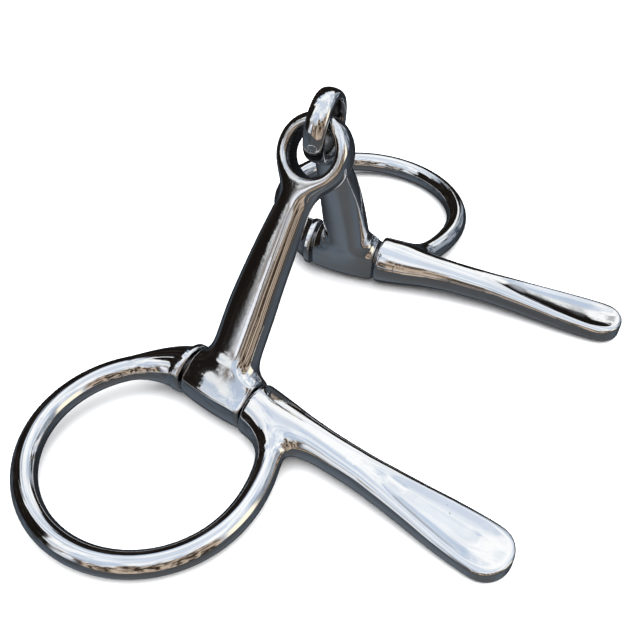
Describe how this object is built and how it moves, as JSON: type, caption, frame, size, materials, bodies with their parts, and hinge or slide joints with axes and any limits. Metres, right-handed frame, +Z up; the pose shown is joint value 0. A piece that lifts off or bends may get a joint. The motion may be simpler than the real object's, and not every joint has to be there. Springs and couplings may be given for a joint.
{
  "type": "snaffle bit",
  "caption": "Single-jointed half spoon cheek snaffle bit: two tapered cannons linked eye to eye, each hinged to a cheek with a ring and a dished spoon arm.",
  "frame": {"origin": "middle of the footprint, on the floor the bit stands on", "axes": "+X the way the spoon arms point, +Y across the mouthpiece from the near cheek to the far cheek, +Z up"},
  "size_m": [0.1206, 0.1844, 0.0747],
  "materials": {
    "mouthpiece": "mirror polished stainless steel",
    "cheek": "mirror polished stainless steel",
    "pin": "turned steel"
  },
  "bodies": {
    "near_cannon_half": {"near_cannon": "mouthpiece"},
    "near_cheek": {"near_spoon_arm": "cheek", "near_cheek_ring": "cheek", "near_hinge_pin": "pin"},
    "far_cannon_half": {"far_cannon": "mouthpiece"},
    "far_cheek": {"far_spoon_arm": "cheek", "far_cheek_ring": "cheek", "far_hinge_pin": "pin"}
  },
  "joints": [
    {"name": "eye_link", "type": "hinge", "parent": "near_cannon_half", "child": "far_cannon_half", "pos_m": [-0.0153, 0.00583, 0.06756], "axis": [0.9909, 0, -0.1347], "range_deg": [-30, 122.53]},
    {"name": "near_cheek_hinge", "type": "hinge", "parent": "near_cannon_half", "child": "near_cheek", "pos_m": [-0.02383, -0.03357, 0.00736], "axis": [-0.9888, 0.1372, 0.0585], "range_deg": [-75, 115]},
    {"name": "far_cheek_hinge", "type": "hinge", "parent": "far_cannon_half", "child": "far_cheek", "pos_m": [-0.02271, 0.03357, 0.00736], "axis": [0.9888, 0.1372, -0.0585], "range_deg": [-75, 105]}
  ]
}
